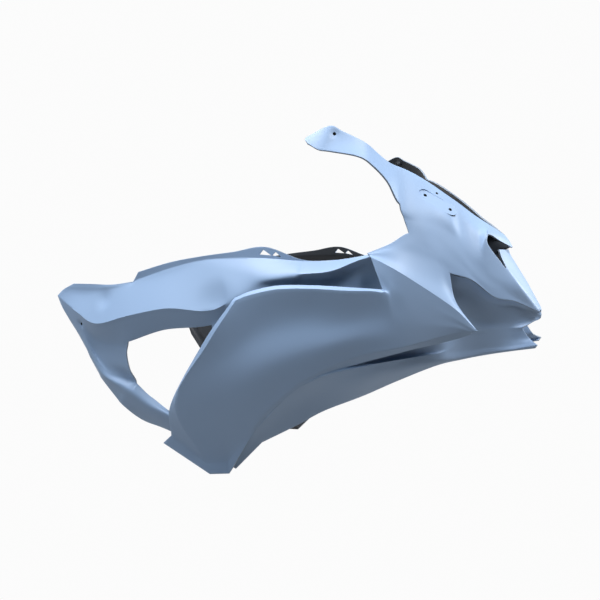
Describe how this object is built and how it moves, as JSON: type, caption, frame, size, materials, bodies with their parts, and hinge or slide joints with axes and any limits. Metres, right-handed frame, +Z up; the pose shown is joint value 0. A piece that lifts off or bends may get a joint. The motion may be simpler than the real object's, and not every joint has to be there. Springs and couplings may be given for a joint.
{
  "type": "motorcycle fairing",
  "caption": "Bare upper fairing of a sports motorcycle: beaked nose, screen arms, side wings over inner skins, and tails with a window, in pale blue-grey paint",
  "frame": {"origin": "under the middle of the fairing, on its centre plane, level with its lowest edge", "axes": "+X to the nose, +Y to the rider's left, +Z up, as the fairing sits on the motorcycle"},
  "size_m": [1.0405, 0.4754, 0.6934],
  "materials": {
    "paint": "satin pale blue-grey paint outside, bare charcoal moulding inside",
    "dark_plastic": "matt charcoal"
  },
  "bodies": {
    "root": {"upper_cowl": "paint", "side_panel_right": "paint", "side_panel_left": "paint", "headlight_blank": "dark_plastic"}
  },
  "joints": []
}
